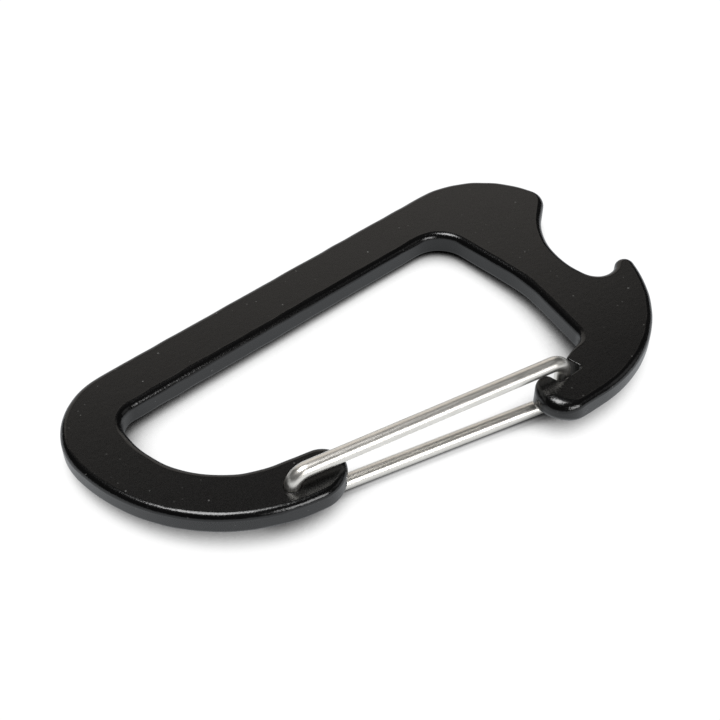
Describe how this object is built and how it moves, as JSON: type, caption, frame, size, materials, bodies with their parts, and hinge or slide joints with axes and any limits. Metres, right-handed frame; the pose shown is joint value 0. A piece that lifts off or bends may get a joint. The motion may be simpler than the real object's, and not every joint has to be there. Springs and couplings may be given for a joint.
{
  "type": "carabiner keyring",
  "caption": "Flat D-shaped carabiner hook with a spring wire gate, a key basket and a crown-cap opener notch in its wide end.",
  "frame": {"origin": "centre of the bounding box, halfway through the plate", "axes": "+X along the spine from the key basket to the opener end, +Y from the nose to the spine, +Z through the plate, from the face where the wire's lower end sits to the other face"},
  "size_m": [0.0782, 0.0432, 0.0095],
  "materials": {
    "black_coat": "satin black coat over tumbled aluminium sheet",
    "bright_wire": "bright polished stainless spring wire"
  },
  "bodies": {
    "hook": {"frame_plate": "black_coat"},
    "gate": {"wire_gate": "bright_wire"}
  },
  "joints": [
    {"name": "gate_hinge", "type": "hinge", "parent": "hook", "child": "gate", "pos_m": [-0.02111, -0.00822, 0], "axis": [0, 0, 1], "range_deg": [0, 26], "stiffness_Nm_per_rad": 0.3, "springref_deg": -14.32}
  ]
}
